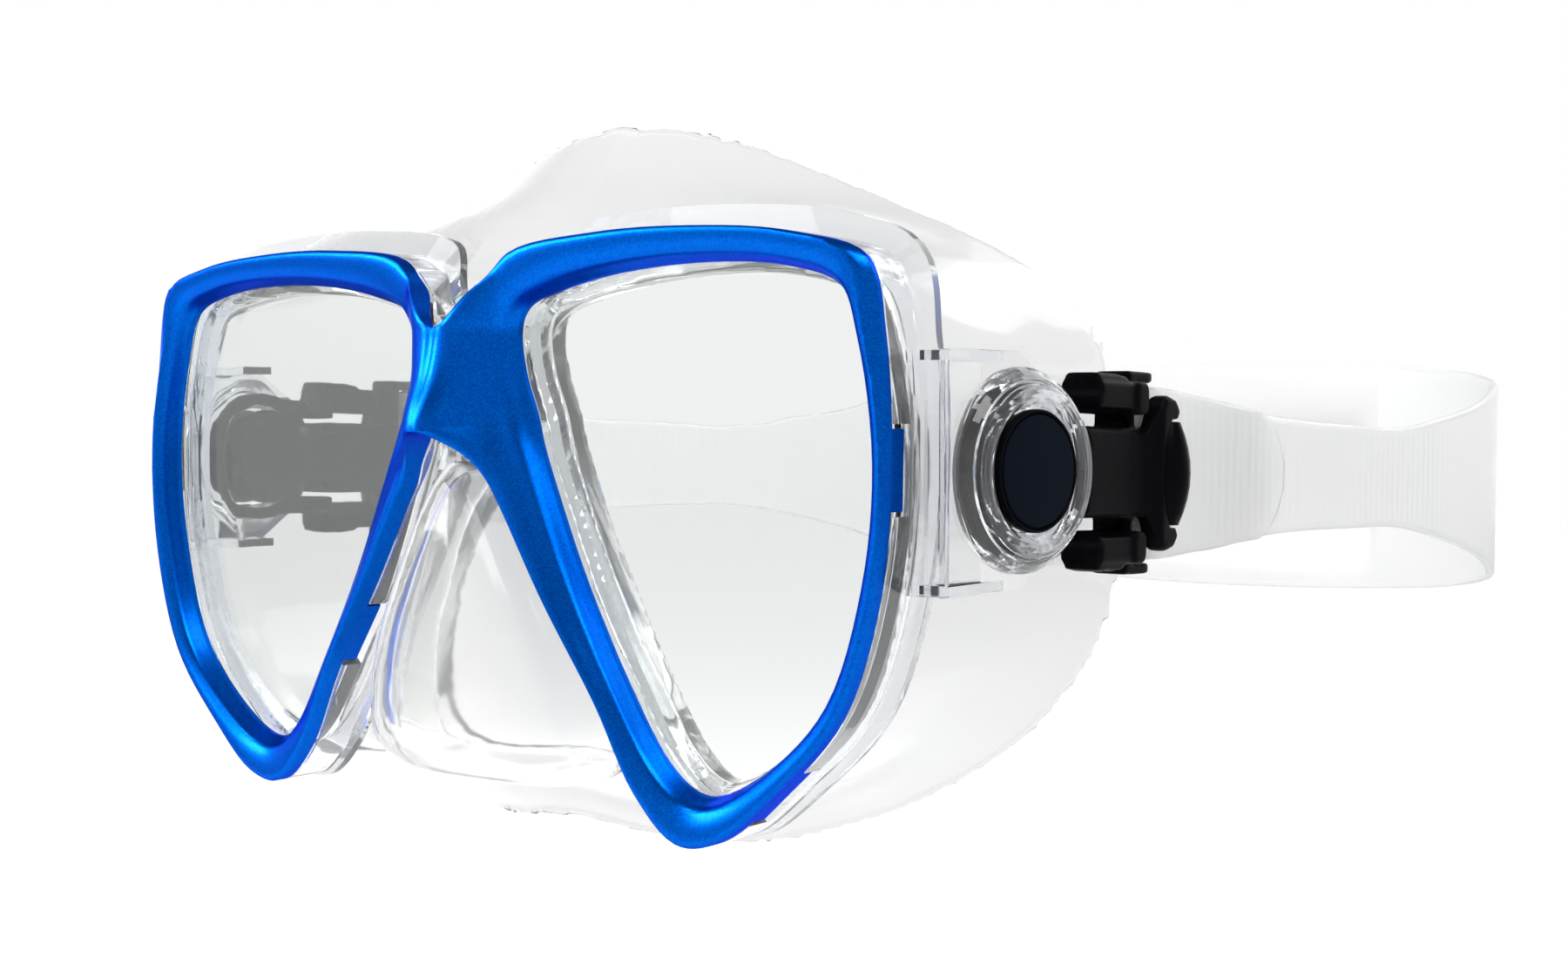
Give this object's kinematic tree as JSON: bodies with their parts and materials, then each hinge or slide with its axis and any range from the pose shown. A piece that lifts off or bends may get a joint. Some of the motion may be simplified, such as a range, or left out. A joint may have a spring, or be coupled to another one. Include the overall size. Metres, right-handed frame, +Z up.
{
  "type": "twin-lens diving mask",
  "caption": "Low-volume diving mask: blue front bezel on a clear frame, glass lenses, soft clear skirt with nose pocket, swivelling side buckles and a silicone head strap.",
  "frame": {"origin": "centre of the face opening, on the mid plane, 36 mm behind the edge of the eye openings, level with the middle of their height", "axes": "+Y from the lenses towards the back of the wearer's head, +X to the wearer's left, +Z up"},
  "size_m": [0.1682, 0.2561, 0.1085],
  "materials": {
    "bezel": "glossy metallic-flake blue",
    "frame": "clear polished polycarbonate",
    "lens": "clear tempered glass with a faint green edge",
    "skirt": "clear silicone, glossy in front and milky at the seal",
    "strap": "milky clear silicone with fine cross ribs",
    "buckle": "black moulded plastic with a fine spark-eroded texture",
    "badge": "matt black disc",
    "roller": "smooth black acetal",
    "pin": "drawn stainless wire"
  },
  "bodies": {
    "root": {"front_bezel": "bezel", "main_frame": "frame", "face_skirt": "skirt", "left_lens": "lens", "right_lens": "lens"},
    "left_buckle": {"left_swivel_stud": "buckle", "left_badge_disc": "badge", "left_clip_ring": "buckle", "left_buckle_body": "buckle", "left_roller_pin": "pin", "left_cam_pin": "pin", "head_strap": "strap"},
    "left_upper_arm": {"left_upper_release_arm": "buckle"},
    "left_lower_arm": {"left_lower_release_arm": "buckle"},
    "left_cam": {"left_locking_cam": "roller"},
    "left_roller": {"left_strap_roller": "roller"},
    "right_buckle": {"right_swivel_stud": "buckle", "right_badge_disc": "badge", "right_clip_ring": "buckle", "right_buckle_body": "buckle", "right_roller_pin": "pin", "right_cam_pin": "pin"},
    "right_upper_arm": {"right_upper_release_arm": "buckle"},
    "right_lower_arm": {"right_lower_release_arm": "buckle"},
    "right_cam": {"right_locking_cam": "roller"},
    "right_roller": {"right_strap_roller": "roller"}
  },
  "joints": [
    {"name": "left_swivel", "type": "hinge", "parent": "root", "child": "left_buckle", "pos_m": [0.0782, -0.0133, 0.0078], "axis": [1, 0, 0], "range_deg": [-24, 24]},
    {"name": "right_swivel", "type": "hinge", "parent": "root", "child": "right_buckle", "pos_m": [-0.0782, -0.0133, 0.0078], "axis": [1, 0, 0], "range_deg": [-24, 24]},
    {"name": "left_upper_squeeze", "type": "hinge", "parent": "left_buckle", "child": "left_upper_arm", "pos_m": [0.0744, -0.00123, 0.01582], "axis": [1, 0, 0], "range_deg": [-4.5, 0], "stiffness_Nm_per_rad": 0.05},
    {"name": "left_lower_squeeze", "type": "hinge", "parent": "left_buckle", "child": "left_lower_arm", "pos_m": [0.0744, -0.00176, -0.00097], "axis": [1, 0, 0], "range_deg": [0, 4.5]},
    {"name": "left_cam_swing", "type": "hinge", "parent": "left_buckle", "child": "left_cam", "pos_m": [0.0807, 0.02108, 0.00672], "axis": [0, 0.0314, 0.9995], "range_deg": [-18, 0]},
    {"name": "left_roller_spin", "type": "hinge", "parent": "left_buckle", "child": "left_roller", "pos_m": [0.075, 0.02108, 0.00672], "axis": [0, 0.0314, 0.9995], "continuous": true},
    {"name": "right_upper_squeeze", "type": "hinge", "parent": "right_buckle", "child": "right_upper_arm", "pos_m": [-0.0744, -0.00123, 0.01582], "axis": [1, 0, 0], "range_deg": [-4.5, 0], "stiffness_Nm_per_rad": 0.05},
    {"name": "right_lower_squeeze", "type": "hinge", "parent": "right_buckle", "child": "right_lower_arm", "pos_m": [-0.0744, -0.00176, -0.00097], "axis": [1, 0, 0], "range_deg": [0, 4.5]},
    {"name": "right_cam_swing", "type": "hinge", "parent": "right_buckle", "child": "right_cam", "pos_m": [-0.0807, 0.02108, 0.00672], "axis": [0, 0.0314, 0.9995], "range_deg": [0, 18]},
    {"name": "right_roller_spin", "type": "hinge", "parent": "right_buckle", "child": "right_roller", "pos_m": [-0.075, 0.02108, 0.00672], "axis": [0, 0.0314, 0.9995], "continuous": true}
  ],
  "couplings": [
    {"joint": "right_swivel", "follows": "left_swivel", "ratio": 1},
    {"joint": "left_lower_squeeze", "follows": "left_upper_squeeze", "ratio": -1},
    {"joint": "left_cam_swing", "follows": "left_upper_squeeze", "ratio": 4},
    {"joint": "right_lower_squeeze", "follows": "right_upper_squeeze", "ratio": -1},
    {"joint": "right_cam_swing", "follows": "right_upper_squeeze", "ratio": -4}
  ]
}
